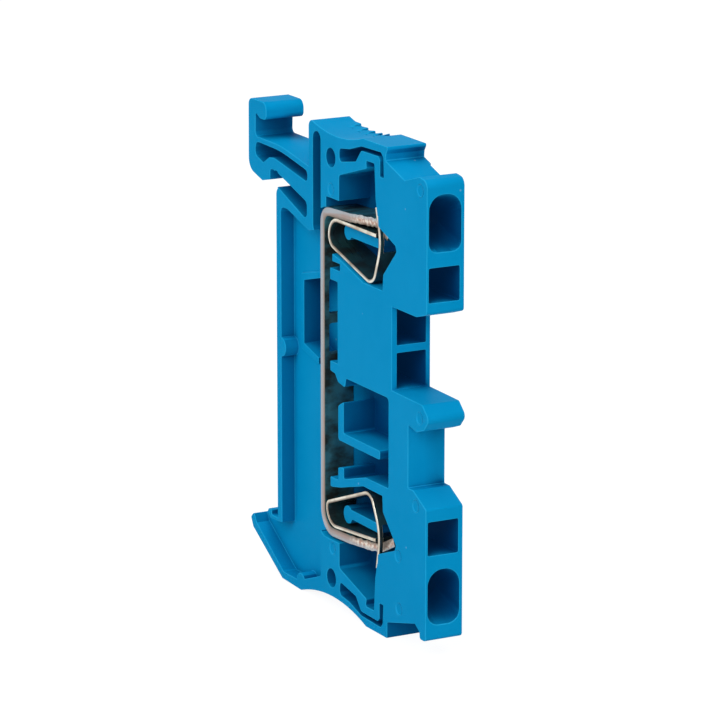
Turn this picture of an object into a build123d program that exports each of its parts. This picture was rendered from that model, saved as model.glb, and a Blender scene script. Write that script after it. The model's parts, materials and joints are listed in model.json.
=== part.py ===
from build123d import *

import os
from math import cos, radians, sin, tan

# Spring clamp feed-through terminal block for a 35 mm rail, with a conductor clamp at each end.
# X runs along the rail: the housing's open side faces -X and its closed side faces +X.
# +Y points to the rail, so the wire entries face -Y. Z runs across the rail.
# The origin is on the rail seat, midway across the rail and midway through the block's width.
# Side profiles are drawn as (depth, height): depth counts from the rail seat to the wire entries,
# and height is Z. All sizes are in millimetres.

# Overall block
block_width = 4.2
block_depth = 30.4
half_length = 24.0
closed_wall = 0.7
strip_gap = 0.03

# Rail seat, with its fixed hook
rail_width = 35.0
rail_sheet = 1.0
rail_play = 0.15
seat_end = 16.1
rim_wall = 0.95
recess_depth = 1.5
hook_reach = 5.95
hook_tip_height = 18.7
hook_heel = half_length
hook_catch = 0.2
groove_relief = 0.12
hook_wall = 0.9

# Spring foot
foot_top = half_length + 0.05
foot_back = 5.9
plate_wall = 1.42
nose_catch = 1.35
nose_gap = 0.3
nose_depth = 1.7
lip_end = 2.05
lip_thickness = 1.75
arm_top = 20.4
arm_root = 19.25
arm_wall = 0.6
slot_end = 6.5
slot_roof = (15.7, 16.2)
slot_floor = (13.95, 19.3)

# Tower over the spring foot
tower_back = 6.9
tower_slot = (7.75, 9.37)
tower_slot_top = half_length - 0.9
tower_front = 22.4
dowel_hole_radius = 0.95
dowel_hole_at = (11.45, half_length - 3.0)
upper_dip = (7.6, 18.0, 0.75)
lower_dip = (5.0, 18.6, 1.15)
rib_count = 5
rib_pitch = 1.43
rib_height = 0.22
rib_fade = 0.02
rib_start = 8.72
rib_width = 1.3

# Conductor rooms
wire_room_back = 13.1
wire_room_top = half_length - 4.45
clamp_floor = 10.05
clamp_front = 24.5
ceiling = 17.05
latch_slot_front = 22.05
latch_slot_top = half_length - 0.75

# Wire entries, screwdriver entries and bridge shafts
entry_block_end = half_length - 1.75
entry_height = half_length - 6.0
entry_size = (3.4, 5.45)
upper_entry_radii = (1.5, 0.9)
lower_entry_radii = (1.2, 1.6)
wire_bore_radius = 1.5
wire_height = half_length - 6.2
funnel_depth = 4.0
wire_bore_end = 20.95
wire_bore_flare = 0.35
driver_height = 12.2
driver_size = (3.25, 3.3)
bridge_face = 23.65
shaft_width = 3.1
shaft_near_wall = 0.6
front_step = 0.2
shaft_floor = 0.85
shaft_top = 8.87
shaft_rib = (4.3, 5.07)

# Pocket behind the bar, under the recess floor
pocket_back = 3.4
pocket_top = 7.2
pocket_flare = 1.4
pocket_rim = 0.6
pocket_rim_rise = 0.2
bar_relief = (6.45, -10.0)

# Nose and marker groove below the bridge shafts
nose_reach = 0.55
nose_top = 0.68
nose_bottom = 2.2
groove_back = 26.9
groove_end = 8.0

# Middle room with its stop wall and beam
middle_back = 12.81
middle_front = 23.06
middle_floor = 0.15
beam_height = 9.0
stop_wall = 1.1
bar_room_front = 11.3
bar_wedge_tip = 11.75

# Current bar
bar_sheet = 0.88
bar_back = 8.8
bar_width = 3.2
bar_gap = 0.03
tongue_width = 2.0
tongue_taper = (14.8, 19.0)
upper_arm = 15.87
upper_arm_lean = 2.8
upper_arm_bend = 0.9
upper_tongue = (19.9, 2.0, 35.0)
lower_arm = 17.0
lower_arm_lean = 3.0
lower_arm_bend = 1.6
lower_tongue = (19.7, 3.4, 22.0)
bar_windows = ((1.2, 4.2), (5.15, 8.6))
bar_window_width = 2.1

# Cage springs
spring_sheet = 0.35
spring_width = 3.2
spring_seat = 15.13
spring_back = 10.38
clamp_leg_end = 20.0
spring_bend = 1.85
spring_heel = (12.3, 1.3)
cage_corner = (19.5, 9.8)
cage_belly = (21.2, 14.2)
cage_tip = (20.2, 17.75)
cage_window = (13.4, 16.55)
cage_window_width = 2.3
lower_spring_shift = (-0.5, -0.75)
lower_spring_lean = 5.1
lower_spring_heel = (12.62, 0.8)
lower_cage_reach = 0.33
lower_cage_lift = 0.3
upper_knob = (13.3, 13.95, 0.75)
lower_knob = (13.25, 14.2, 0.9)
post_height = 14.03
post_half = 0.48
post_end = 19.4
post_rise = 2.6

# Small moulding marks on the open side
mark_radius = 0.6
mark_depth = 0.08
marks_at = (
    (11.5, 17.9),
    (29.1, 21.0),
    (29.1, -0.7),
    (28.4, -9.4),
    (25.0, -15.2),
    (11.7, -17.9),
    (25.2, -20.4),
)

# Worked out from the sizes above
room_depth = block_width - closed_wall
rail_edge = rail_width / 2
notch_top = rail_edge + rail_play
nose_face = -(rail_sheet + nose_gap)
nose_tip = rail_edge - nose_catch
strip_base = closed_wall + strip_gap
strip_middle = strip_base + bar_width / 2
spring_pivot = (spring_back + spring_bend, spring_seat - spring_bend)


def side(height):
    """Plane of a side profile, at a height over the closed face, looking towards the open side."""
    return Plane(origin=(block_width / 2 - height, 0, 0), x_dir=(0, -1, 0), z_dir=(-1, 0, 0))


def front(depth):
    """Plane across the block at a depth from the rail seat, looking towards the rail."""
    return Plane(origin=(block_width / 2, -depth, 0), x_dir=(-1, 0, 0), z_dir=(0, 1, 0))


def outline(plane, corners):
    """Closed face through (depth, height, corner radius) points, each radius kept to its wall."""
    spots = [Vector(depth, height) for depth, height, _ in corners]
    radii = []
    for index, corner in enumerate(corners):
        rooms = []
        for neighbour in (index - 1, (index + 1) % len(corners)):
            share = 0.48 if corners[neighbour][2] else 0.96
            rooms.append(share * (spots[neighbour] - spots[index]).length)
        back = spots[index - 1] - spots[index]
        ahead = spots[(index + 1) % len(spots)] - spots[index]
        widest = min(rooms) * tan(radians(back.get_angle(ahead) / 2))
        radii.append(min(corner[2], widest))
    with BuildSketch(plane) as face:
        with BuildLine():
            FilletPolyline(*spots, radius=radii, close=True)
        make_face()
    return face.sketch


def flipped(corners, end):
    """The same corners at the upper end (1) or the lower end (-1) of the block."""
    return [(depth, end * height, radius) for depth, height, radius in corners]


def turned(corners, centre, angle, shift=(0, 0)):
    """Corners turned about a centre and then shifted."""
    spots = []
    for depth, height, radius in corners:
        run = depth - centre[0]
        rise = height - centre[1]
        across = run * cos(radians(angle)) - rise * sin(radians(angle))
        up = run * sin(radians(angle)) + rise * cos(radians(angle))
        spots.append((centre[0] + across + shift[0], centre[1] + up + shift[1], radius))
    return spots


def strip_profile(plane, corners, sheet, thicken):
    """Bent strip: an open run of corners, thickened to one side by the sheet's thickness."""
    spots = [(depth, height) for depth, height, _ in corners]
    radii = [radius for _, _, radius in corners[1:-1]]
    with BuildSketch(plane) as face:
        with BuildLine():
            FilletPolyline(*spots, radius=radii)
            offset(amount=sheet, side=thicken)
        make_face()
    return face.sketch


def bar_corners():
    """Outer face of the current bar, from the tip of the upper tongue to that of the lower one."""
    corners = []
    for end, arm, lean, bend, tongue in (
        (1, upper_arm, upper_arm_lean, upper_arm_bend, upper_tongue),
        (-1, -lower_arm, lower_arm_lean, lower_arm_bend, lower_tongue),
    ):
        knee_at, hook, hook_angle = tongue
        knee = (knee_at, arm + (knee_at - bar_back) * tan(radians(lean)))
        fall = radians(lean - end * hook_angle)
        tip = (knee[0] + hook * cos(fall), knee[1] + hook * sin(fall))
        arm_run = [(*tip, 0), (*knee, bar_sheet + 0.4), (bar_back, arm, bend + bar_sheet)]
        corners += arm_run if end > 0 else arm_run[::-1]
    return corners


def spring_corners(end):
    """Outer face of a cage spring, from the end of its clamp leg to the tip of its cage leg."""
    reach, lift, heel = (0, 0, spring_heel)
    if end < 0:
        reach, lift, heel = (lower_cage_reach, lower_cage_lift, lower_spring_heel)
    corners = [
        (clamp_leg_end + reach, spring_seat, 0),
        (spring_back, spring_seat, spring_bend),
        (spring_back, *heel),
        (cage_corner[0] + reach, cage_corner[1] + lift, 1.5),
        (cage_belly[0] + reach, cage_belly[1], 5.0),
        (cage_tip[0] + reach, cage_tip[1], 0),
    ]
    return placed_spring(corners, end)


def placed_spring(corners, end):
    """Corners of the upper spring, or the same spring flipped, leant and shifted to the lower end."""
    if end > 0:
        return corners
    centre = (spring_pivot[0], -spring_pivot[1])
    return turned(flipped(corners, -1), centre, lower_spring_lean, lower_spring_shift)


def window_corners(end):
    """Side outline of the cutter for a cage spring's window, clear of the clamp leg's end."""
    low, high = cage_window
    reach = 0 if end > 0 else lower_cage_reach
    corners = [
        (cage_belly[0] - 0.9, low, 0),
        (cage_belly[0] + 0.5, low, 0),
        (cage_belly[0] + 0.5, high, 0),
        (cage_tip[0] - 0.4, high, 0),
        (clamp_leg_end + 0.12, spring_seat + 0.2, 0),
        (clamp_leg_end + 0.2, spring_seat - 0.6, 0),
    ]
    corners = [(depth + reach, height, radius) for depth, height, radius in corners]
    return placed_spring(corners, end)


def foot_outline():
    """Spring foot: a back plate with a lip above, a catch nose below and two thin arms."""
    plate_front = plate_wall - foot_back
    lip_under = foot_top - lip_thickness
    root = tower_back + arm_wall
    return outline(
        side(0),
        [
            (-foot_back, foot_top, 0.7),
            (-lip_end, foot_top, 0.85),
            (-lip_end, lip_under, 0.6),
            (plate_front + 1.05, lip_under, 0.15),
            (plate_front + 0.1, lip_under + 0.45, 0.1),
            (plate_front, arm_top, 0.5),
            (0.8, arm_top - 0.05, 20.0),
            (root, arm_root, 0),
            (root, arm_root - 4.0, 0),
            (nose_gap, arm_root - 4.0, 0),
            (nose_gap, notch_top, 0),
            (nose_face, notch_top, 0.3),
            (nose_face, nose_tip + 0.4, 0.2),
            (nose_face - nose_depth, nose_tip, 0.15),
            (-foot_back - 0.05, nose_tip + 0.8, 1.4),
        ],
    )


def foot_slot():
    """Curved slot that parts the two arms of the spring foot."""
    start = plate_wall - foot_back + 0.02
    top = arm_top - arm_wall
    end = tower_back - 0.25
    return outline(
        side(0),
        [
            (start, top + 0.07, 0.8),
            (0.9, top - 0.02, 20.0),
            (end, top - 1.0, 0.6),
            (end - 0.1, top - 2.06, 0.35),
            (-0.4, top - 0.92, 3.0),
            (-1.5, top - 1.06, 0.4),
            (-2.75, top - 1.78, 0.25),
            (start, top - 1.3, 0.5),
        ],
    )


def flange_slot():
    """Slanted slot under the lower arm, narrower at its mouth, with a blunt end in the tower's root."""
    mouth = -nose_gap
    (roof, roof_lean), (floor, floor_lean) = slot_roof, slot_floor
    return outline(
        side(0),
        [
            (mouth, roof + (slot_end - mouth) * tan(radians(roof_lean)), 0),
            (slot_end, roof, 0.6),
            (slot_end - 0.05, floor, 0.45),
            (mouth, floor + (slot_end - mouth) * tan(radians(floor_lean)), 0),
        ],
    )


def seat_outline():
    """Rail seat and fixed hook, with the groove for the rail's lower edge behind a low catch."""
    groove = -rail_edge - 2 * rail_play
    catch = -rail_edge + hook_catch
    web_end = tower_back + 1.0
    return outline(
        side(0),
        [
            (0, seat_end, 0.8),
            (web_end, seat_end, 0),
            (web_end, -half_length + 0.75, 0),
            (5.0, -hook_heel, 0.3),
            (rim_wall, -hook_heel + 0.15, 0.4),
            (-hook_reach + 0.5, -hook_tip_height - 1.4, 0.3),
            (-hook_reach, -hook_tip_height - 0.45, 0.25),
            (-hook_reach + 0.5, -hook_tip_height, 0.15),
            (nose_face - rim_wall, groove + 0.1, 0),
            (nose_face - 0.7, catch, 0.1),
            (nose_face, catch, 0.1),
            (nose_face, groove, 0.15),
            (groove_relief, groove, 0.1),
            (groove_relief, catch - 0.1, 0),
            (0, catch + 0.05, 0),
        ],
    )


def recess_outline():
    """Shallow recess of the open side, inside the rim of the seat and hook."""
    rim_floor = -hook_heel + hook_wall
    return outline(
        side(block_width),
        [
            (rim_wall, seat_end - 1.85, 0.6),
            (2.4, seat_end - 1.85, 0.6),
            (tower_back, 12.95, 0.3),
            (tower_slot[0], 13.2, 0),
            (tower_slot[1] - 0.15, 13.2, 0),
            (tower_slot[1] - 0.15, rim_floor + 1.7, 0.4),
            (4.6, rim_floor, 0.5),
            (1.2, rim_floor, 0.5),
            (-hook_reach + 1.25, -hook_tip_height - 0.8, 0.2),
            (-hook_reach + 0.4, -hook_tip_height + 0.6, 0),
            (nose_face - rim_wall, -rail_edge - 0.15, 0.2),
            (nose_face - 0.3, -rail_edge - 0.7, 0.2),
            (rim_wall, -rail_edge - 0.55, 0.1),
        ],
    )


def tower_outline():
    """Tower and middle of the block, with a small lip over each end's front groove."""
    return outline(
        side(0),
        [
            (tower_back, half_length, 0.7),
            (tower_front + 0.36, half_length - 0.02, 0.12),
            (tower_front + 0.36, half_length - 0.3, 0.1),
            (tower_front + 0.05, half_length - 0.75, 0.3),
            (tower_front, half_length - 1.2, 0),
            (tower_front, -entry_block_end, 0),
            (tower_front + 0.43, -entry_block_end, 0),
            (tower_front + 0.43, -half_length, 0.15),
            (tower_back, -half_length, 0),
        ],
    )


def dip_height(at, start, stop, drop):
    """Height of an end face at a depth, inside its long hollow."""
    half_span = (stop - start) / 2
    sphere = (half_span**2 + drop**2) / (2 * drop)
    return half_length - drop + (at - start - half_span) ** 2 / (2 * sphere)


def dip_outline(end, start, stop, drop):
    """Long hollow in an end face: an arc between two points of the face."""
    level = end * half_length
    with BuildSketch(side(0)) as dip:
        with BuildLine():
            lowest = ((start + stop) / 2, level - end * drop)
            ThreePointArc((start, level), lowest, (stop, level))
            Polyline((stop, level), (stop, level + end), (start, level + end), (start, level))
        make_face()
    return dip.sketch


def rib_outline(end, at, dip, level, rise):
    """Grip rib in the hollow of an end face, steep on its front side, at a height over the closed face."""
    crest = at + 0.85 * rib_pitch
    corners = [
        (at, dip_height(at, *dip) - 0.1, 0),
        (at, dip_height(at, *dip), 0),
        (crest, dip_height(crest, *dip) + rise, 0),
        (crest + 0.05, dip_height(crest, *dip) - 0.1, 0),
    ]
    return outline(side(level), flipped(corners, end))


def entry_block(end):
    """Front block round a wire entry and a screwdriver entry."""
    inner = tower_front - 0.4
    if end > 0:
        corners = [
            (inner, entry_block_end + 0.5, 0),
            (block_depth - 4.3, entry_block_end - 0.83, 0.2),
            (block_depth - 1.5, entry_block_end, 0.6),
            (block_depth, entry_block_end - 0.2, 0.9),
            (block_depth, shaft_top + 0.63, 0.4),
            (block_depth - 2.0, shaft_top, 0.6),
            (inner, shaft_top, 0),
        ]
    else:
        corners = [
            (inner, -groove_end, 0),
            (block_depth - 2.5, -groove_end, 0.15),
            (block_depth, -groove_end - 1.3, 0.3),
            (block_depth, -entry_block_end, 0.4),
            (block_depth - 1.15, -entry_block_end, 0.3),
            (block_depth - 1.2, 0.7 - entry_block_end, 0.3),
            (block_depth - 2.1, 1.25 - entry_block_end, 0.2),
            (tower_front + 0.43, -entry_block_end - 0.15, 0.15),
            (inner, -entry_block_end - 0.3, 0),
        ]
    return outline(side(0), corners)


def nose_outline():
    """Rounded nose between the bridge shafts and the marker groove."""
    tip = block_depth + nose_reach
    return outline(
        side(0),
        [
            (tower_front - 0.4, nose_top + 0.12, 0),
            (block_depth - 0.8, nose_top, 0.5),
            (tip, -nose_reach, 0.6),
            (block_depth - 0.5, 0.5 - nose_bottom, 0.5),
            (block_depth - 1.9, -nose_bottom, 0.4),
            (groove_back, -nose_bottom + 0.35, 0.2),
            (tower_front - 0.4, -nose_bottom + 0.35, 0),
        ],
    )


def clamp_room(end):
    """Room of a cage spring, open to the screwdriver entry in front."""
    arm, bend = (upper_arm, upper_arm_bend) if end > 0 else (lower_arm, lower_arm_bend)
    arm_top_face = arm + bar_gap
    heel = bar_back - bar_gap
    corners = [
        (heel, clamp_floor + 1.6, 0),
        (11.75, clamp_floor + 1.6, 0.2),
        (13.3, clamp_floor + 1.3, 0),
        (18.0, clamp_floor, 0.3),
        (clamp_front - 2.65, clamp_floor, 0.1),
        (clamp_front - 2.55, clamp_floor + 1.55, 0.3),
        (clamp_front + 0.05, clamp_floor + 4.25, 0.3),
        (clamp_front - 0.2, clamp_floor + 4.8, 0.2),
        (21.0, clamp_floor + 6.0, 0.2),
        (20.9, ceiling, 0),
        (10.45, ceiling, 0.15),
        (10.45, arm_top_face + 0.1, 0),
        (10.3, arm_top_face + 0.06, 0),
        (heel, arm_top_face, bend + bar_sheet),
    ]
    return outline(side(block_width), flipped(corners, end))


def wire_room(end):
    """Room behind the clamp where the stripped wire end lies."""
    corners = [
        (wire_room_back, ceiling - 0.6, 0),
        (wire_room_back, wire_room_top, 0.4),
        (16.3, wire_room_top + 0.95, 0.6),
        (18.7, wire_room_top + 1.65, 0.2),
        (18.5, wire_room_top + 2.4, 0.2),
        (20.2, wire_room_top + 2.4, 0.15),
        (20.45, wire_room_top - 0.95, 1.0),
        (20.95, ceiling - 0.6, 0),
    ]
    return outline(side(block_width), flipped(corners, end))


def latch_slot(end):
    """Long hollow over the wire room that turns down into a narrow slot."""
    corners = [
        (wire_room_back + 0.1, latch_slot_top - 1.05, 0.4),
        (15.2, latch_slot_top - 0.8, 1.0),
        (17.6, latch_slot_top - 0.1, 0.6),
        (latch_slot_front - 0.55, latch_slot_top, 0.2),
        (latch_slot_front - 0.1, latch_slot_top - 0.45, 0.2),
        (latch_slot_front, latch_slot_top - 2.35, 0.1),
        (latch_slot_front - 0.75, latch_slot_top - 2.35, 0.1),
        (latch_slot_front - 0.75, latch_slot_top - 0.8, 0.3),
        (latch_slot_front - 1.1, latch_slot_top - 0.45, 0.3),
        (17.6, latch_slot_top - 0.5, 0.4),
        (16.5, latch_slot_top - 1.75, 0.3),
        (wire_room_back + 0.1, latch_slot_top - 2.35, 0.4),
    ]
    return outline(side(block_width), flipped(corners, end))


def middle_room():
    """Room under the bridge shafts, over the lower clamp's beam, with a hooked stop wall in it."""
    heel = bar_back - bar_gap
    room = [
        (heel, 0, 0),
        (11.2, 0, 0.15),
        (12.3, -middle_floor, 0.3),
        (12.9, -middle_floor - 0.7, 0.25),
        (14.3, -middle_floor - 0.95, 0.3),
        (14.5, -middle_floor, 0.2),
        (middle_front, -middle_floor, 0.45),
        (middle_front, -beam_height, 0.2),
        (18.5, -beam_height - 0.05, 0.5),
        (14.05, -beam_height - 1.3, 0.15),
        (14.05, -beam_height - 0.15, 0.2),
        (12.92, -beam_height - 0.4, 0.2),
        (12.92, -beam_height - 1.65, 0.15),
        (heel, -beam_height - 1.75, 0),
    ]
    wall_back = middle_back + 0.11
    wall = [
        (wall_back, -3.25, 0.15),
        (wall_back + 0.4, -2.95, 0),
        (wall_back + stop_wall, -2.6, 0.1),
        (wall_back + stop_wall, -5.72, 0.2),
        (middle_front - 1.7, -5.72, 0.3),
        (middle_front - 1.7, -6.62, 0.3),
        (wall_back, -6.62, 0.35),
    ]
    with BuildSketch() as plan:
        add(outline(Plane.XY, room))
        add(outline(Plane.XY, wall), mode=Mode.SUBTRACT)
    return side(block_width) * plan.sketch


def bar_room():
    """Passage in front of the current bar, with steps that reach back to hold it."""
    heel = bar_back - bar_gap
    with BuildSketch(side(block_width)) as room:
        with Locations((heel, 0)):
            Rectangle(bar_room_front - heel, 2 * clamp_floor + 3.3, align=(Align.MIN, Align.CENTER))
        with Locations((heel, shaft_floor + 0.1)):
            span = shaft_top - shaft_floor + 0.07
            Rectangle(middle_back - heel, span, align=(Align.MIN, Align.MIN))
        with Locations((heel, clamp_floor + 0.15)):
            Rectangle(13.3 - heel, 0.7, align=(Align.MIN, Align.MIN))
            Rectangle(bar_wedge_tip - heel, 1.5, align=(Align.MIN, Align.MIN))
    return room.sketch


def spring_post(end):
    """Post inside a cage spring, with a round knob at its rear end."""
    depth, height, radius = upper_knob if end > 0 else lower_knob
    with BuildSketch(side(closed_wall)) as post:
        with Locations((depth, end * height)):
            Circle(radius)
        with Locations((depth, end * post_height)):
            Rectangle(post_end - depth, 2 * post_half, align=(Align.MIN, Align.CENTER))
        with Locations((post_end, end * post_height)):
            Circle(post_half)
    return post.sketch


def driver_mouth(end):
    """Square mouth of a screwdriver entry."""
    middle = block_width - 0.25 - driver_size[0] / 2
    with BuildSketch(front(block_depth)) as mouth:
        with Locations((middle, end * driver_height)):
            RectangleRounded(*driver_size, 0.15)
    return mouth.sketch


def funnel_section(depth, end, height, size, outer_radius, inner_radius):
    """Upright section of a wire entry at a depth, with corner radii towards the block's end and middle."""
    middle = block_width - 0.25 - entry_size[0] / 2
    near, far = middle + size[0] / 2, middle - size[0] / 2
    corners = [
        (far, height + size[1] / 2, outer_radius),
        (near, height + size[1] / 2, outer_radius),
        (near, height - size[1] / 2, inner_radius),
        (far, height - size[1] / 2, inner_radius),
    ]
    return outline(front(depth), flipped(corners, end))


def wire_bore(end, depth, radius):
    """Round throat of a wire entry at a depth: the bore, and its flared end in the wire room."""
    middle = block_width - 0.25 - entry_size[0] / 2
    with BuildSketch(front(depth)) as throat:
        with Locations((middle, end * wire_height)):
            Circle(radius)
    return throat.sketch


def tongue_taper_outline(hand):
    """Waste beside the tongues, on one edge of the strip, as (height over the closed face, depth)."""
    plan = Plane(origin=(block_width / 2, 0, 0), x_dir=(-1, 0, 0), z_dir=(0, 0, 1))
    edge = strip_middle + hand * bar_width / 2
    shoulder = strip_middle + hand * tongue_width / 2
    corners = [
        (edge, tongue_taper[0], 0),
        (shoulder, tongue_taper[1], 0),
        (shoulder, block_depth, 0),
        (edge + hand, block_depth, 0),
        (edge + hand, tongue_taper[0], 0),
    ]
    return outline(plan, corners)


def bar_window(low, high):
    """Punched window of the current bar, from the bar's rear."""
    plane = Plane(origin=(block_width / 2 - strip_middle, -bar_back, 0), x_dir=(1, 0, 0), z_dir=(0, -1, 0))
    with BuildSketch(plane) as window:
        with Locations((0, (low + high) / 2)):
            RectangleRounded(bar_window_width, high - low, 0.25)
    return window.sketch


def bridge_pocket(margin):
    """Flared pocket behind the bar for the tips of a bridge, or its rim when given a margin."""
    low = shaft_floor - 0.05 - margin
    high = pocket_top + margin
    heel = bar_back - bar_gap
    corners = [
        (pocket_back - margin, low, 0.1),
        (pocket_back - margin, high, 0.1),
        (heel, high + pocket_flare, 0),
        (heel, low - pocket_flare, 0),
    ]
    return outline(side(block_width - recess_depth + pocket_rim_rise), corners)


# Housing, one moulding: solid profile first, then the rooms from the open side, then the entries
with BuildPart() as housing:
    extrude(tower_outline(), amount=block_width)
    extrude(seat_outline(), amount=block_width)
    extrude(foot_outline(), amount=block_width)
    extrude(entry_block(1), amount=block_width)
    extrude(entry_block(-1), amount=block_width)
    extrude(nose_outline(), amount=block_width)
    with BuildSketch(side(0)):
        with Locations((tower_front - 0.4, shaft_top)):
            web = bridge_face - tower_front + 0.4
            Rectangle(web, shaft_top - nose_top, align=(Align.MIN, Align.MAX))
        with Locations((tower_front - 0.4, -nose_bottom + 0.5)):
            web = groove_back - tower_front + 0.4
            Rectangle(web, groove_end - nose_bottom + 1.0, align=(Align.MIN, Align.MAX))
    extrude(amount=block_width)
    # Foot slots and the hollows of both ends
    extrude(foot_slot(), amount=block_width, mode=Mode.SUBTRACT)
    extrude(flange_slot(), amount=block_width, mode=Mode.SUBTRACT)
    for end, dip in ((1, upper_dip), (-1, lower_dip)):
        extrude(dip_outline(end, *dip), amount=block_width, mode=Mode.SUBTRACT)
        for rib in range(rib_count):
            at = rib_start + rib * rib_pitch
            full = rib_outline(end, at, dip, 0, rib_height)
            faded = rib_outline(end, at, dip, rib_width, -rib_fade)
            loft(sections=[full, faded])
    # Recess of the seat, its bosses and the bridge pocket with its rim
    extrude(recess_outline(), amount=-recess_depth, mode=Mode.SUBTRACT)
    with BuildSketch(side(block_width)):
        with Locations((rim_wall, 0.05)):
            Circle(rim_wall)
        with Locations((4.95, hook_wall - hook_heel)):
            Circle(rim_wall - 0.1)
    extrude(amount=-recess_depth)
    extrude(bridge_pocket(pocket_rim), amount=-pocket_rim_rise)
    pocket_depth = room_depth - recess_depth + pocket_rim_rise
    extrude(bridge_pocket(0), amount=-pocket_depth, mode=Mode.SUBTRACT)
    with BuildSketch(side(block_width)):
        with Locations(bar_relief):
            relief = bar_back - bar_gap - bar_relief[0]
            Rectangle(relief, shaft_floor - bar_relief[1], align=(Align.MIN, Align.MIN))
    extrude(amount=-room_depth, mode=Mode.SUBTRACT)
    # Rooms of the two clamps
    for end in (1, -1):
        extrude(clamp_room(end), amount=-room_depth, mode=Mode.SUBTRACT)
        extrude(wire_room(end), amount=-room_depth, mode=Mode.SUBTRACT)
        extrude(latch_slot(end), amount=-room_depth, mode=Mode.SUBTRACT)
    extrude(middle_room(), amount=-room_depth, mode=Mode.SUBTRACT)
    extrude(bar_room(), amount=-room_depth, mode=Mode.SUBTRACT)
    # Tower slot, dowel holes and moulding marks
    with BuildSketch(side(block_width)):
        with Locations(((tower_slot[0] + tower_slot[1]) / 2, tower_slot_top - 5.1)):
            SlotOverall(10.2, tower_slot[1] - tower_slot[0], rotation=90)
        for end in (1, -1):
            with Locations((dowel_hole_at[0], end * dowel_hole_at[1])):
                Circle(dowel_hole_radius)
    extrude(amount=-room_depth, mode=Mode.SUBTRACT)
    with BuildSketch(side(block_width)):
        with Locations(*marks_at):
            Circle(mark_radius)
    extrude(amount=-mark_depth, mode=Mode.SUBTRACT)
    # Posts inside the springs, then the entries and bridge shafts of the front
    for end in (1, -1):
        extrude(spring_post(end), amount=post_rise)
        extrude(driver_mouth(end), amount=block_depth - clamp_front + 2.3, mode=Mode.SUBTRACT)
        radii = upper_entry_radii if end > 0 else lower_entry_radii
        mouth = funnel_section(block_depth + 0.01, end, entry_height, entry_size, *radii)
        bore_size = (2 * wire_bore_radius, 2 * wire_bore_radius)
        round_radii = (wire_bore_radius, wire_bore_radius)
        throat = funnel_section(block_depth - funnel_depth, end, wire_height, bore_size, *round_radii)
        loft(sections=[mouth, throat], mode=Mode.SUBTRACT)
        bore = wire_bore(end, block_depth - funnel_depth + 0.01, wire_bore_radius)
        reach = block_depth - funnel_depth + 0.01 - wire_bore_end
        extrude(bore, amount=reach, mode=Mode.SUBTRACT)
        flare_start = wire_bore(end, wire_bore_end, wire_bore_radius)
        flare_end = wire_bore(end, wire_bore_end - 0.75, wire_bore_radius + wire_bore_flare)
        loft(sections=[flare_start, flare_end], mode=Mode.SUBTRACT)
    for low, high in ((shaft_floor, shaft_rib[0]), (shaft_rib[1], shaft_top)):
        with BuildSketch(front(bridge_face)):
            with Locations((block_width - shaft_near_wall - shaft_width / 2, (low + high) / 2)):
                Rectangle(shaft_width, high - low)
        extrude(amount=bridge_face - middle_back + 0.2, mode=Mode.SUBTRACT)
    # The front stands a little back from the closed side
    with BuildSketch(side(0)):
        with Locations((bridge_face, 0)):
            Rectangle(block_depth, 2 * half_length, align=(Align.MIN, Align.CENTER))
    extrude(amount=front_step, mode=Mode.SUBTRACT)

# Current bar: one bent strip, narrowed to a tongue at each end and pierced by two windows
with BuildPart() as current_bar:
    extrude(strip_profile(side(strip_base), bar_corners(), bar_sheet, Side.LEFT), amount=bar_width)
    for hand in (1, -1):
        extrude(tongue_taper_outline(hand), amount=half_length, both=True, mode=Mode.SUBTRACT)
    for low, high in bar_windows:
        extrude(bar_window(low, high), amount=2 * bar_sheet, both=True, mode=Mode.SUBTRACT)

# Cage springs: one strip loop each, with a window for the bar's tongue in the cage leg
with BuildPart() as upper_cage_spring:
    profile = strip_profile(side(strip_base), spring_corners(1), spring_sheet, Side.RIGHT)
    extrude(profile, amount=spring_width)
    near = strip_middle - cage_window_width / 2
    extrude(outline(side(near), window_corners(1)), amount=cage_window_width, mode=Mode.SUBTRACT)

with BuildPart() as lower_cage_spring:
    profile = strip_profile(side(strip_base), spring_corners(-1), spring_sheet, Side.LEFT)
    extrude(profile, amount=spring_width)
    near = strip_middle - cage_window_width / 2
    extrude(outline(side(near), window_corners(-1)), amount=cage_window_width, mode=Mode.SUBTRACT)

housing.part.label = "housing"
current_bar.part.label = "current_bar"
upper_cage_spring.part.label = "upper_cage_spring"
lower_cage_spring.part.label = "lower_cage_spring"

os.makedirs("parts", exist_ok=True)
export_step(housing.part, "parts/housing.step")
export_step(current_bar.part, "parts/current_bar.step")
export_step(upper_cage_spring.part, "parts/upper_cage_spring.step")
export_step(lower_cage_spring.part, "parts/lower_cage_spring.step")
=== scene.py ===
import json
import math
import random

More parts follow.
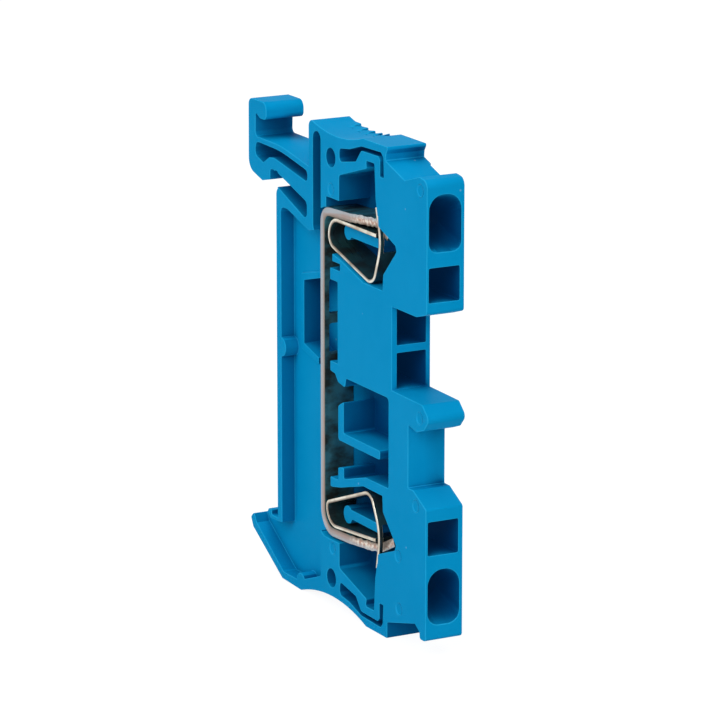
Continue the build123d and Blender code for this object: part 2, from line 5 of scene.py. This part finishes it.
import bpy
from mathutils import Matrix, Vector

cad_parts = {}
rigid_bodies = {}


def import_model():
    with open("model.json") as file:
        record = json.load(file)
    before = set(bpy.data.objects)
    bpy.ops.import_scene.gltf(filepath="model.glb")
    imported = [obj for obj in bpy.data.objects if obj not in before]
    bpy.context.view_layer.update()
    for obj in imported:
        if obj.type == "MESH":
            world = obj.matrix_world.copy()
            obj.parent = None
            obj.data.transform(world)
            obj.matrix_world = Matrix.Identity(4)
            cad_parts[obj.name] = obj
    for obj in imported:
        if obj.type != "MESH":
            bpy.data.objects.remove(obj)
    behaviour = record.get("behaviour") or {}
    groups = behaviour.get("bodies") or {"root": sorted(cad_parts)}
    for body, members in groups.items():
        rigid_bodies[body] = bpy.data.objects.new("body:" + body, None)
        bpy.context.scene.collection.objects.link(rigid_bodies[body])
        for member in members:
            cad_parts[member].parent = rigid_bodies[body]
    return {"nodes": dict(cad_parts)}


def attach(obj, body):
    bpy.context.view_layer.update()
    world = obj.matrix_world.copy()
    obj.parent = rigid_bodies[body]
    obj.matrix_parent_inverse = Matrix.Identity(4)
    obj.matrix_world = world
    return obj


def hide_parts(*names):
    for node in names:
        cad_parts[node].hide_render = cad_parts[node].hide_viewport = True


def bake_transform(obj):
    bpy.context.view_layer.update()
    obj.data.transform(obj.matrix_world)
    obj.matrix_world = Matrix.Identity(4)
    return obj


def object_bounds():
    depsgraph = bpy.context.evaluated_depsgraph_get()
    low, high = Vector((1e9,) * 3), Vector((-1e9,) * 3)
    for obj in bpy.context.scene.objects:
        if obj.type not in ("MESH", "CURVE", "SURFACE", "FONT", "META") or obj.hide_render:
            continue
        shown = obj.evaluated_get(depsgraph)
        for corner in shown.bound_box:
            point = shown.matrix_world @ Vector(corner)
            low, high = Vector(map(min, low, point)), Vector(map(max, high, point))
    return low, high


# Spring clamp terminal block for a mounting rail: one blue moulding, a tinned copper current bar
# and two looped cage springs, under soft studio light. All lengths are in metres.
# As in the part's source, depth counts from the rail seat to the wire entries, so it is -Y.

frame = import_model()
cad_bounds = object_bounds()

MM = 0.001
HALF_WIDTH = 2.1 * MM
BLOCK_MIDDLE = Vector((0, -15 * MM, 0))

SAME_POINT = 0.0005 * MM
ON_PLANE = 0.0001 * MM
SHORTEST_EDGE = 0.012 * MM

# Angles in degrees, and the share of its length that an edge across the width has along X
FLAT_ANGLE = 0.3
EDGE_ANGLE, CORNER_ANGLE = 32, 52
ACROSS_SHARE = 0.9
HOUSING_SMOOTH, METAL_SMOOTH = 40, 35


# Modelling helpers

def make_active(piece):
    """Leaves edit mode and selects this piece alone."""
    if bpy.context.mode != "OBJECT":
        bpy.ops.object.mode_set(mode="OBJECT")
    bpy.ops.object.select_all(action="DESELECT")
    piece.select_set(True)
    bpy.context.view_layer.objects.active = piece


def select_everything(piece):
    """Goes into edit mode with the whole mesh selected."""
    make_active(piece)
    bpy.ops.object.mode_set(mode="EDIT")
    bpy.ops.mesh.select_all(action="SELECT")


def select_in_edit(piece, kind, wanted):
    """Goes into edit mode with only the faces, edges or vertices that wanted() picks selected."""
    make_active(piece)
    bpy.ops.object.mode_set(mode="EDIT")
    bpy.ops.mesh.select_mode(type={"faces": "FACE", "edges": "EDGE", "vertices": "VERT"}[kind])
    bpy.ops.mesh.select_all(action="DESELECT")
    bpy.ops.object.mode_set(mode="OBJECT")
    mesh = piece.data
    items = {"faces": mesh.polygons, "edges": mesh.edges, "vertices": mesh.vertices}[kind]
    for item in items:
        if wanted(item):
            item.select = True
    bpy.ops.object.mode_set(mode="EDIT")


def merged_copy(node, name):
    """A copy of a CAD node's mesh with its loose triangles merged into clean flat faces."""
    piece = bpy.data.objects.new(name, frame["nodes"][node].data.copy())
    bpy.context.scene.collection.objects.link(piece)
    piece.data.materials.clear()
    select_everything(piece)
    bpy.ops.mesh.customdata_custom_splitnormals_clear()
    bpy.ops.mesh.remove_doubles(threshold=SAME_POINT)
    bpy.ops.mesh.dissolve_limited(angle_limit=math.radians(FLAT_ANGLE))
    bpy.ops.object.mode_set(mode="OBJECT")
    return piece


def collapse_short_edges(piece, shortest):
    """Closes edges too short for the soft edges that come later, each run of them to one point."""
    points = piece.data.vertices

    def is_short(edge):
        first, second = edge.vertices
        return (points[first].co - points[second].co).length < shortest

    select_in_edit(piece, "edges", is_short)
    bpy.ops.mesh.merge(type="COLLAPSE")
    bpy.ops.object.mode_set(mode="OBJECT")


def is_within(value, limits):
    """Whether a value lies between two limits or on one of them."""
    return limits[0] - ON_PLANE <= value <= limits[1] + ON_PLANE


def slice_across(piece, planes, picked):
    """Cuts the faces that picked() picks along each plane, given as a point and a normal."""
    for point, normal in planes:
        select_in_edit(piece, "faces", picked)
        bpy.ops.mesh.bisect(plane_co=point, plane_no=normal, threshold=ON_PLANE)
        bpy.ops.object.mode_set(mode="OBJECT")


def sharp_edges(piece, angle):
    """Numbers of the edges whose faces meet at more than an angle."""
    select_in_edit(piece, "edges", lambda edge: False)
    bpy.ops.mesh.edges_select_sharp(sharpness=math.radians(angle))
    bpy.ops.object.mode_set(mode="OBJECT")
    return {edge.index for edge in piece.data.edges if edge.select}


def soften_edges(piece, width, segments, edge_highlight=None, kept_sharp=None):
    """Rounds the sharp edges apart from those that kept_sharp() picks. The rounding gets the
    material of the slot that edge_highlight numbers, if any, which can paint a highlight along the
    rounded edges. Across the width only true corners count, and not the facets of small fillets."""
    mesh = piece.data
    corners = sharp_edges(piece, CORNER_ANGLE)
    sharp = sharp_edges(piece, EDGE_ANGLE)
    weights = mesh.attributes.new("bevel_weight_edge", "FLOAT", "EDGE")
    for edge in mesh.edges:
        first, second = [mesh.vertices[index].co for index in edge.vertices]
        run = second - first
        across = abs(run.x) > ACROSS_SHARE * run.length
        rounded = edge.index in (corners if across else sharp)
        if kept_sharp and kept_sharp((first + second) / 2):
            rounded = False
        weights.data[edge.index].value = 1.0 if rounded else 0.0
    bevel = piece.modifiers.new("soft edges", "BEVEL")
    bevel.width = width
    bevel.segments = segments
    bevel.limit_method = "WEIGHT"
    bevel.use_clamp_overlap = False
    bevel.miter_outer = "MITER_ARC"
    bevel.harden_normals = False
    if edge_highlight is not None:
        bevel.material = edge_highlight
    make_active(piece)
    bpy.ops.object.modifier_apply(modifier=bevel.name)


def smooth(piece, angle):
    """Smooth shading up to an angle, with normals that the large flat faces decide."""
    make_active(piece)
    bpy.ops.object.shade_smooth_by_angle(angle=math.radians(angle))
    weighted = piece.modifiers.new("flat faces", "WEIGHTED_NORMAL")
    weighted.mode = "FACE_AREA"
    weighted.weight = 100
    weighted.keep_sharp = True
    bpy.ops.object.modifier_apply(modifier=weighted.name)


def mark_faces(piece, name, wanted):
    """Writes what wanted() gives for each face, from 0 to 1, for a finish to read."""
    mark = piece.data.attributes.new(name, "FLOAT", "FACE")
    for face in piece.data.polygons:
        mark.data[face.index].value = float(wanted(face))


def mark_from_outside(piece, middle):
    """Writes 0 on the points of a bent strip's outer face and 1 on those of its inner face, so
    that a finish can paint highlight and shade across the cut edge. The middle lies within the
    strip's bend."""
    mark = piece.data.attributes.new("from_outside", "FLOAT", "POINT")
    for vertex in piece.data.vertices:
        outward = Vector((0, vertex.co.y - middle.y, vertex.co.z - middle.z))
        mark.data[vertex.index].value = 0.0 if vertex.normal.dot(outward) > 0 else 1.0


# Shader helpers

class Signal:
    """One output socket of a finish, on which Python arithmetic works."""

    def __init__(self, finish, socket):
        self.finish = finish
        self.socket = socket

    def _worked(self, operation, first, second):
        return self.finish.node("ShaderNodeMath", {"operation": operation}, {0: first, 1: second})

    def __add__(self, other):
        return self._worked("ADD", self, other)

    def __radd__(self, other):
        return self._worked("ADD", other, self)

    def __rsub__(self, other):
        return self._worked("SUBTRACT", other, self)

    def __mul__(self, other):
        return self._worked("MULTIPLY", self, other)

    def __rmul__(self, other):
        return self._worked("MULTIPLY", other, self)


class Finish:
    """A procedural material, built up from shader nodes."""

    def __init__(self, name):
        self.material = bpy.data.materials.new(name)
        self.material.use_nodes = True
        self.tree = self.material.node_tree
        self.tree.nodes.clear()

    def node(self, kind, settings=None, inputs=None, output=0):
        """Adds a node: its settings first, then the values or links of its sockets."""
        made = self.tree.nodes.new(kind)
        for name, value in (settings or {}).items():
            if name == "stops":
                ramp = made.color_ramp
                while len(ramp.elements) < len(value):
                    ramp.elements.new(0.5)
                for element, (position, level) in zip(ramp.elements, value):
                    element.position = position
                    element.color = (level, level, level, 1)
            else:
                setattr(made, name, value)
        for key, value in (inputs or {}).items():
            if isinstance(value, Signal):
                self.tree.links.new(value.socket, made.inputs[key])
            else:
                made.inputs[key].default_value = value
        return Signal(self, made.outputs[output]) if len(made.outputs) else None

    def place(self, stretch=(1, 1, 1)):
        """Object coordinates, stretched along each axis."""
        where = self.node("ShaderNodeTexCoord", output="Object")
        return self.node("ShaderNodeMapping", inputs={"Vector": where, "Scale": stretch})

    def noise(self, scale, detail=2.0, stretch=(1, 1, 1), roughness=0.5):
        sockets = {
            "Vector": self.place(stretch),
            "Scale": scale,
            "Detail": detail,
            "Roughness": roughness,
        }
        return self.node("ShaderNodeTexNoise", inputs=sockets)

    def ramp(self, signal, *stops):
        """A signal turned into levels from 0 to 1, by stops of a position and a level each."""
        return self.node("ShaderNodeValToRGB", {"stops": stops}, {"Fac": signal})

    def attribute(self, name):
        return self.node("ShaderNodeAttribute", {"attribute_name": name}, output="Fac")

    def mixed(self, factor, first, second):
        """Two colours mixed by a factor."""
        sockets = {0: factor, 6: first, 7: second}
        return self.node("ShaderNodeMix", {"data_type": "RGBA"}, sockets, output=2)

    def bump(self, height, strength, distance):
        sockets = {"Height": height, "Strength": strength, "Distance": distance}
        return self.node("ShaderNodeBump", inputs=sockets)

    def surface(self, **sockets):
        """The Principled shader, with its sockets given by name, joined to the output."""
        named = {key.replace("_", " "): value for key, value in sockets.items()}
        shader = self.node("ShaderNodeBsdfPrincipled", inputs=named)
        self.node("ShaderNodeOutputMaterial", inputs={"Surface": shader})
        return self.material


# Finishes

BLACK, WHITE = (0, 0, 0, 1), (1, 1, 1, 1)

FACE_BLUE, FACE_LIGHT_BLUE = (0.0, 0.27, 0.56, 1), (0.005, 0.31, 0.62, 1)
# Lighter blues for the rounded edges: a painted highlight
EDGE_HIGHLIGHT_BLUE, EDGE_HIGHLIGHT_PALE_BLUE = (0.0, 0.31, 0.62, 1), (0.02, 0.4, 0.72, 1)
EDGE_HIGHLIGHT_SHARE = 0.35
# The painted shade inside the rooms and entries, and the faint painted glow there
PAINTED_SHADE_BLUE = (0.0, 0.035, 0.13, 1)
PAINTED_GLOW = (0.0, 0.007, 0.024, 1)
PALE_SPECK = (0.45, 0.68, 0.8, 1)
ROOM_REACH = 5 * MM
MARKED_OPENNESS = 0.1
MOTTLE_SHARE, SPECK_SHARE = 0.35, 0.22

DARK_TIN, BRIGHT_TIN = (0.01, 0.14, 0.2, 1), (0.09, 0.3, 0.34, 1)
DULL_TIN = (0.025, 0.035, 0.03, 1)
PINK_COPPER, GREY_COPPER = (0.4, 0.3, 0.27, 1), (0.38, 0.34, 0.32, 1)
TORN_COPPER, TORN_BURR = (0.5, 0.3, 0.23, 1), (0.78, 0.71, 0.62, 1)
# Painted highlight on the outer side of the cut edges, and painted shade on their inner rim
PAINTED_TIN_HIGHLIGHT = (0.4, 0.47, 0.52, 1)
PAINTED_COPPER_SHADE = (0.17, 0.14, 0.11, 1)

BRIGHT_STEEL, TARNISHED_STEEL = (0.84, 0.8, 0.68, 1), (0.42, 0.34, 0.24, 1)
# Painted shade on the inner side of the cut edges
PAINTED_STEEL_SHADE = (0.16, 0.11, 0.08, 1)
# The rolled faces, painted dark as shade, teal where they paint the reflection of the blue rooms
PAINTED_TEAL_SHADE, PAINTED_DEEP_SHADE = (0.015, 0.1, 0.12, 1), (0.01, 0.02, 0.025, 1)
ROLLED_LINES = (0.08, 0.13, 0.13, 1)


def blue_polyamide(name, tint, light_tint, highlight_share):
    """Blue moulded polyamide: faintly mottled, with a fine spark-eroded grain and a few specks.
    Shade is painted into its colour: by ambient occlusion, more deeply away from the open side,
    and on the walls that the shaded_wall mark picks, so that it is deepest inside the narrow rooms
    and entries. There a faint painted glow stands in for the light that comes through the thin
    walls."""
    finish = Finish(name)
    # Ambient occlusion of the housing's own walls, which paints shade into the colour
    openness = finish.node(
        "ShaderNodeAmbientOcclusion",
        {"samples": 12, "only_local": True},
        {"Distance": ROOM_REACH},
        output="AO",
    )
    across = finish.node("ShaderNodeSeparateXYZ", inputs={0: finish.place()}, output="X")
    # Farther from the open side the painted shade is deeper
    from_open_side = (across + HALF_WIDTH) * (1 / (2 * HALF_WIDTH))
    far_in = finish.ramp(from_open_side, (0.42, 0.0), (0.82, 1.0))
    shallow = finish.ramp(openness, (0.12, 0.0), (0.36, 0.35), (0.66, 1.0))
    deep = finish.ramp(openness, (0.25, 0.0), (0.6, 0.12), (0.95, 1.0))
    marked = finish.attribute("shaded_wall")
    # How open a face is, from 0 where the painted shade is deepest to 1; marked walls are painted
    # as shaded
    unmarked_openness = shallow * (1.0 - far_in) + deep * far_in
    open_face = unmarked_openness * (1.0 - marked) + MARKED_OPENNESS * marked
    mottle = finish.ramp(finish.noise(260, 3), (0.3, 0.0), (0.7, 1.0))
    grain = finish.noise(5200, 3, roughness=0.6)
    dents = finish.noise(620, 2)
    cells = finish.node(
        "ShaderNodeTexVoronoi", {"feature": "F1"}, {"Vector": finish.place(), "Scale": 260.0}
    )
    speck = finish.ramp(cells, (0.02, 1.0), (0.035, 0.0))
    # On the rounded edges the extra share lightens the blue as a painted highlight
    lightened = finish.mixed(mottle * MOTTLE_SHARE + highlight_share, tint, light_tint)
    specked = finish.mixed(speck * SPECK_SHARE, lightened, PALE_SPECK)
    return finish.surface(
        Base_Color=finish.mixed(open_face, PAINTED_SHADE_BLUE, specked),
        Roughness=0.4 + 0.16 * grain,
        Specular_IOR_Level=0.012,
        # A faint painted glow where the painted shade is deepest, standing in for light through the
        # thin walls
        Emission_Color=finish.mixed(open_face, PAINTED_GLOW, BLACK),
        Emission_Strength=1.0,
        Normal=finish.bump(grain * 0.5 + dents * 0.8, 0.25, 0.02 * MM),
    )


def tinned_copper():
    """Tin over copper. The rolled faces are dull tin. The cut edges are pinkish copper with grey
    smears, whitest where the punch has torn them, with a tin-coloured painted highlight on their
    outer side and painted shade on their inner rim."""
    finish = Finish("tinned copper")
    cut_edge = finish.attribute("cut_edge")
    nibbled = finish.attribute("nibbled")
    streaks = finish.noise(900, 4, stretch=(1, 1, 0.12), roughness=0.6)
    smear = finish.ramp(finish.noise(1500, 4, stretch=(1, 0.5, 0.5)), (0.42, 0.0), (0.62, 1.0))
    burr = finish.ramp(finish.noise(3000, 4), (0.42, 0.0), (0.58, 1.0))
    dulled = finish.ramp(finish.noise(700, 4, stretch=(0.6, 1, 1)), (0.4, 0.0), (0.64, 1.0))
    tin = finish.mixed(dulled, finish.mixed(streaks, DARK_TIN, BRIGHT_TIN), DULL_TIN)
    copper = finish.mixed(smear, PINK_COPPER, GREY_COPPER)
    torn = finish.mixed(burr, TORN_COPPER, TORN_BURR)
    edge = finish.mixed(nibbled, copper, torn)
    across = finish.attribute("from_outside")
    # Painted highlight on the outer side of the cut edge, painted shade on its inner rim
    highlighted = finish.mixed(finish.ramp(across, (0.05, 0.75), (0.5, 0.0)), edge, PAINTED_TIN_HIGHLIGHT)
    rim_shaded = finish.mixed(finish.ramp(across, (0.65, 0.0), (1.0, 0.8)), highlighted, PAINTED_COPPER_SHADE)
    return finish.surface(
        Base_Color=finish.mixed(cut_edge, tin, rim_shaded),
        Metallic=0.5 + 0.2 * cut_edge,
        Roughness=0.3 + 0.25 * streaks + 0.12 * cut_edge,
        Normal=finish.bump(streaks + burr * nibbled, 0.35, 0.03 * MM),
    )


def spring_steel():
    """Rolled spring strip: bright cut edges with painted shade on their inner side, and faces
    painted dark as shade, in patches of near-black and of teal for a painted reflection of the blue
    rooms, with fine lines along the strip."""
    finish = Finish("spring steel")
    lines = finish.noise(2400, 3, stretch=(1, 0.08, 0.08))
    tarnish = finish.ramp(finish.noise(520, 4), (0.4, 0.0), (0.7, 1.0))
    core = finish.mixed(tarnish, BRIGHT_STEEL, TARNISHED_STEEL)
    across = finish.attribute("from_outside")
    # Painted shade on the inner side of the cut edge
    edge = finish.mixed(finish.ramp(across, (0.4, 0.0), (0.95, 0.8)), core, PAINTED_STEEL_SHADE)
    shadowed = finish.ramp(finish.noise(500, 3), (0.42, 0.0), (0.62, 1.0))
    # Painted shade on the rolled faces, teal in patches for a painted reflection of the blue rooms
    painted_face_shade = finish.mixed(shadowed, PAINTED_TEAL_SHADE, PAINTED_DEEP_SHADE)
    rolled = finish.mixed(lines * 0.5, painted_face_shade, ROLLED_LINES)
    return finish.surface(
        Base_Color=finish.mixed(finish.attribute("cut_edge"), rolled, edge),
        Metallic=0.6,
        Roughness=0.22 + 0.16 * lines,
        Normal=finish.bump(lines, 0.2, 0.01 * MM),
    )


# Housing

HOUSING_ROUNDING = 0.07 * MM

# Where the soft edges have no room. Heights are distances from the block's middle, along Z.
BEHIND_OPEN_SIDE = -2.05 * MM
BORE_HEIGHTS = (15.8 * MM, 19.8 * MM)
FLARE_DEPTHS = (19.9 * MM, 21.15 * MM)
FUNNEL_END_DEPTHS = (26.3 * MM, 26.5 * MM)
BAR_STEP_HEIGHTS = (0.83 * MM, 0.97 * MM)
BAR_STEP_DEPTHS = (12.0 * MM, 23.7 * MM)

# Where shade is painted on by a mark, and how much
FUNNEL_START_DEPTH = 26.4 * MM
FUNNEL_HEIGHTS = (15.5 * MM, 20.4 * MM)
ROOM_SIDES = (-1.95 * MM, 1.2 * MM)
DEEPEST_FRONT = 23 * MM
LIP_HEIGHT, LIP_DEPTH = 20.5 * MM, 18 * MM
HOOK_TIP_HEIGHT = 22.2 * MM
END_ROOM_DEPTHS = (12 * MM, 20 * MM)
END_ROOM_HEIGHTS = (17.5 * MM, 23.25 * MM)
RIM_DEPTH = 2 * MM
FACING_UP, FACING_ENTRIES = 0.3, -0.6
FLOOR_SHADE, RIM_SHADE, WALL_SHADE = 0.4, 0.35, 0.7


def has_no_room(place):
    """Edges with no room for rounding: both ends of each wire bore, and the low step in front of
    the bar, under the bridge shafts."""
    depth = -place.y
    if place.x < BEHIND_OPEN_SIDE:
        return False
    at_bore_end = is_within(depth, FLARE_DEPTHS) or is_within(depth, FUNNEL_END_DEPTHS)
    in_throat = is_within(abs(place.z), BORE_HEIGHTS) and at_bore_end
    at_step = is_within(place.z, BAR_STEP_HEIGHTS) and is_within(depth, BAR_STEP_DEPTHS)
    return in_throat or at_step


def wall_shade(face):
    """How much painted shade a wall gets: the walls in the rooms that face the wire entries, the
    wall under the rim, and the floors of the wire entries and of the end rooms. The front under
    the tower's lip and the hook's tip stay plain."""
    depth, height = -face.center.y, abs(face.center.z)
    is_floor = face.normal.z > FACING_UP
    if depth > FUNNEL_START_DEPTH and is_within(height, FUNNEL_HEIGHTS) and is_floor:
        return FLOOR_SHADE
    inside = is_within(face.center.x, ROOM_SIDES) and depth < DEEPEST_FRONT
    under_lip = face.center.z > LIP_HEIGHT and depth > LIP_DEPTH
    on_hook_tip = face.center.z > HOOK_TIP_HEIGHT and depth < 0
    if not inside or under_lip or on_hook_tip:
        return 0.0
    in_end_room = is_within(depth, END_ROOM_DEPTHS) and is_within(height, END_ROOM_HEIGHTS)
    if in_end_room and is_floor:
        return FLOOR_SHADE
    if face.normal.y > FACING_ENTRIES:
        return 0.0
    return RIM_SHADE if depth < RIM_DEPTH else WALL_SHADE


def make_housing():
    housing = merged_copy("housing", "housing_moulding")
    collapse_short_edges(housing, SHORTEST_EDGE)
    blue = blue_polyamide("blue polyamide", FACE_BLUE, FACE_LIGHT_BLUE, 0.0)
    # A lighter copy of the blue on the rounded edges, as a painted highlight
    edge_highlight = blue_polyamide("blue polyamide edges", EDGE_HIGHLIGHT_BLUE, EDGE_HIGHLIGHT_PALE_BLUE, EDGE_HIGHLIGHT_SHARE)
    housing.data.materials.append(blue)
    housing.data.materials.append(edge_highlight)
    soften_edges(housing, HOUSING_ROUNDING, segments=2, edge_highlight=1, kept_sharp=has_no_room)
    # The walls that get painted shade
    mark_faces(housing, "shaded_wall", wall_shade)
    smooth(housing, HOUSING_SMOOTH)
    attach(housing, "block")
    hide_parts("housing")


# Current bar

BAR_ROUNDING = 0.07 * MM
BAR_CUT_EDGE = 0.45
ARM_HEIGHT = 12 * MM
NEAR_EDGE = -0.6 * MM
NIBBLE_SEED = 11
NIBBLE_START, NIBBLE_END = 14.6 * MM, 20.2 * MM
NIBBLE_STEP, NIBBLE_SPREAD = 0.33 * MM, (0.6, 1.4)
NIBBLE_ACROSS, NIBBLE_ALONG = (-0.02, 0.09), (-0.07, 0.07)
NIBBLE_MARGIN, NIBBLE_FADE = 0.1 * MM, 1.6 * MM
LEAST_TORN = 0.3


def nibble_arm_edges(bar):
    """Roughens the near edges of both arms, where the punch has torn the narrowed tongues."""
    rng = random.Random(NIBBLE_SEED)
    depths = []
    depth = NIBBLE_START
    while depth < NIBBLE_END:
        depths.append(depth)
        depth += NIBBLE_STEP * rng.uniform(*NIBBLE_SPREAD)

    def on_arms(face):
        return -face.center.y > NIBBLE_START - MM and abs(face.center.z) > ARM_HEIGHT

    slice_across(bar, [((0, -depth, 0), (0, 1, 0)) for depth in depths], on_arms)
    torn_depths = (NIBBLE_START + NIBBLE_MARGIN, NIBBLE_END)
    for vertex in bar.data.vertices:
        place = vertex.co
        on_arm = is_within(-place.y, torn_depths) and abs(place.z) > ARM_HEIGHT
        if on_arm and place.x < NEAR_EDGE:
            torn = min((-place.y - NIBBLE_START) / NIBBLE_FADE, 1.0)
            place.x += torn * rng.uniform(*NIBBLE_ACROSS) * MM
            place.z += torn * rng.uniform(*NIBBLE_ALONG) * MM


def torn_share(face):
    """How torn an arm's edge is at a face: a little near the bend, and fully along the tongue."""
    if abs(face.center.z) < ARM_HEIGHT:
        return 0.0
    return min(max((-face.center.y - NIBBLE_START) / NIBBLE_FADE, LEAST_TORN), 1.0)


def make_current_bar():
    bar = merged_copy("current_bar", "copper_bar")
    nibble_arm_edges(bar)
    soften_edges(bar, BAR_ROUNDING, segments=2)
    bar.data.materials.append(tinned_copper())
    mark_faces(bar, "cut_edge", lambda face: abs(face.normal.x) > BAR_CUT_EDGE)
    mark_faces(bar, "nibbled", torn_share)
    mark_from_outside(bar, BLOCK_MIDDLE)
    smooth(bar, METAL_SMOOTH)
    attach(bar, "block")
    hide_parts("current_bar")


# Cage springs

SPRING_ROUNDING = 0.06 * MM
SPRING_CUT_EDGE = 0.2
LOOP_DEPTH = 14.5 * MM
UPPER_CUT, LOWER_CUT = 13.0 * MM, -13.7 * MM
REAR_BEND_FRONT = 12.0 * MM
LEG_MARGIN = 0.05 * MM
BLEND_START, BLEND_END = 10.6 * MM, 15.2 * MM
BLEND_STEP, BLEND_STEPS = 0.4 * MM, 13


def make_cage_spring(end, cut_height, steel):
    """A looped spring in two pieces that meet in the rear bend: the clamp leg stays with the block,
    and the long leg with its cage is sliced across its depth and is not attached to a body."""
    node = end + "_cage_spring"
    outward = 1 if end == "upper" else -1
    loop = merged_copy(node, end + "_cage_loop")
    depths = [BLEND_START + BLEND_STEP * step for step in range(BLEND_STEPS)]
    slice_across(loop, [((0, -depth, 0), (0, 1, 0)) for depth in depths], lambda face: True)
    soften_edges(loop, SPRING_ROUNDING, segments=3)
    mark_from_outside(loop, Vector((0, -LOOP_DEPTH, cut_height)))

    def in_rear_bend(face):
        return -face.center.y < REAR_BEND_FRONT

    def on_clamp_side(vertex):
        past_cut = outward * (vertex.co.z - cut_height)
        return -vertex.co.y < REAR_BEND_FRONT and past_cut > LEG_MARGIN

    select_in_edit(loop, "faces", in_rear_bend)
    bpy.ops.mesh.bisect(plane_co=(0, 0, cut_height), plane_no=(0, 0, 1), threshold=ON_PLANE)
    bpy.ops.mesh.edge_split(type="EDGE")
    bpy.ops.object.mode_set(mode="OBJECT")
    select_in_edit(loop, "vertices", on_clamp_side)
    bpy.ops.mesh.select_linked()
    before = set(bpy.data.objects)
    bpy.ops.mesh.separate(type="SELECTED")
    bpy.ops.object.mode_set(mode="OBJECT")
    leg = (set(bpy.data.objects) - before).pop()
    leg.name = end + "_clamp_leg"
    for piece in (loop, leg):
        select_everything(piece)
        bpy.ops.mesh.fill_holes(sides=0)
        bpy.ops.object.mode_set(mode="OBJECT")
        piece.data.materials.clear()
        piece.data.materials.append(steel)
        mark_faces(piece, "cut_edge", lambda face: abs(face.normal.x) > SPRING_CUT_EDGE)
        smooth(piece, METAL_SMOOTH)
    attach(leg, "block")
    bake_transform(loop)
    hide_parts(node)


# Floor, light and camera

FLOOR_SIZE = 3.0
PAPER_GREY, SHADOW_GREY = (0.75, 0.75, 0.75, 1), (0.15, 0.15, 0.15, 1)
PAPER_GLOW = 0.92
CAMERA_PLACE = (-187.8 * MM, -362.08 * MM, 100.57 * MM)
CAMERA_YAW, CAMERA_PITCH = 28.315, 14.0835
CAMERA_LENS, SENSOR_WIDTH = 211.26, 36.0
NEAREST, FARTHEST = 0.01, 20.0


def backdrop_finish():
    """White paper: the camera and reflections see it white, and it still takes a faint shadow."""
    finish = Finish("white paper")
    by_camera = finish.node("ShaderNodeLightPath", output="Is Camera Ray")
    by_reflection = finish.node("ShaderNodeLightPath", output="Is Glossy Ray")
    seen = by_camera + by_reflection
    paper = finish.node("ShaderNodeBsdfDiffuse", inputs={"Color": PAPER_GREY})
    shadowed = finish.node("ShaderNodeBsdfDiffuse", inputs={"Color": SHADOW_GREY})
    glow = finish.node("ShaderNodeEmission", inputs={"Color": WHITE, "Strength": PAPER_GLOW})
    shown = finish.node("ShaderNodeAddShader", inputs={0: shadowed, 1: glow})
    mixed = finish.node("ShaderNodeMixShader", inputs={0: seen, 1: paper, 2: shown})
    finish.node("ShaderNodeOutputMaterial", inputs={"Surface": mixed})
    return finish.material


def make_floor(height):
    bpy.ops.mesh.primitive_plane_add(size=FLOOR_SIZE, location=(0, 0, height))
    floor = bpy.context.active_object
    floor.name = "floor"
    floor.data.materials.append(backdrop_finish())


def make_world(ambient):
    """Plain soft light all round, which the camera, glass and reflections see as white."""
    world = bpy.data.worlds.new("studio")
    bpy.context.scene.world = world
    world.use_nodes = True
    tree = world.node_tree
    tree.nodes.clear()
    path = tree.nodes.new("ShaderNodeLightPath")
    seen = path.outputs["Is Camera Ray"]
    for ray in ("Is Transmission Ray", "Is Glossy Ray"):
        either = tree.nodes.new("ShaderNodeMath")
        either.operation = "MAXIMUM"
        tree.links.new(seen, either.inputs[0])
        tree.links.new(path.outputs[ray], either.inputs[1])
        seen = either.outputs[0]
    mix = tree.nodes.new("ShaderNodeMixShader")
    tree.links.new(seen, mix.inputs[0])
    for socket, strength in ((1, ambient), (2, 1.0)):
        background = tree.nodes.new("ShaderNodeBackground")
        background.inputs["Color"].default_value = WHITE
        background.inputs["Strength"].default_value = strength
        tree.links.new(background.outputs[0], mix.inputs[socket])
    output = tree.nodes.new("ShaderNodeOutputWorld")
    tree.links.new(mix.outputs[0], output.inputs["Surface"])


def make_soft_box(name, place, size, watts):
    """A square lamp that shines on the block's middle."""
    lamp = bpy.data.lights.new(name, "AREA")
    lamp.shape = "SQUARE"
    lamp.size = size
    lamp.energy = watts
    soft_box = bpy.data.objects.new(name, lamp)
    bpy.context.scene.collection.objects.link(soft_box)
    soft_box.location = place
    aim = BLOCK_MIDDLE - Vector(place)
    soft_box.rotation_euler = aim.to_track_quat("-Z", "Y").to_euler()


def make_camera():
    """The photograph's camera: a long lens from the left, the front and a little above."""
    lens = bpy.data.cameras.new("camera")
    lens.sensor_width = SENSOR_WIDTH
    lens.lens = CAMERA_LENS
    lens.clip_start, lens.clip_end = NEAREST, FARTHEST
    camera = bpy.data.objects.new("camera", lens)
    bpy.context.scene.collection.objects.link(camera)
    camera.location = CAMERA_PLACE
    yaw, pitch = math.radians(CAMERA_YAW), math.radians(CAMERA_PITCH)
    level = math.cos(pitch)
    ahead = Vector((math.sin(yaw) * level, math.cos(yaw) * level, -math.sin(pitch)))
    camera.rotation_euler = ahead.to_track_quat("-Z", "Y").to_euler()
    bpy.context.scene.camera = camera


make_housing()
make_current_bar()
steel = spring_steel()
make_cage_spring("upper", UPPER_CUT, steel)
make_cage_spring("lower", LOWER_CUT, steel)

make_floor(cad_bounds[0].z)
make_world(ambient=0.5)
make_soft_box("key", place=(-0.5, -0.35, 0.45), size=0.45, watts=2.6)
make_soft_box("fill", place=(0.35, -0.6, 0.3), size=0.5, watts=0.6)
make_soft_box("top", place=(0.05, 0.05, 0.7), size=0.6, watts=1.5)
make_camera()

bpy.context.scene.view_settings.view_transform = "Standard"
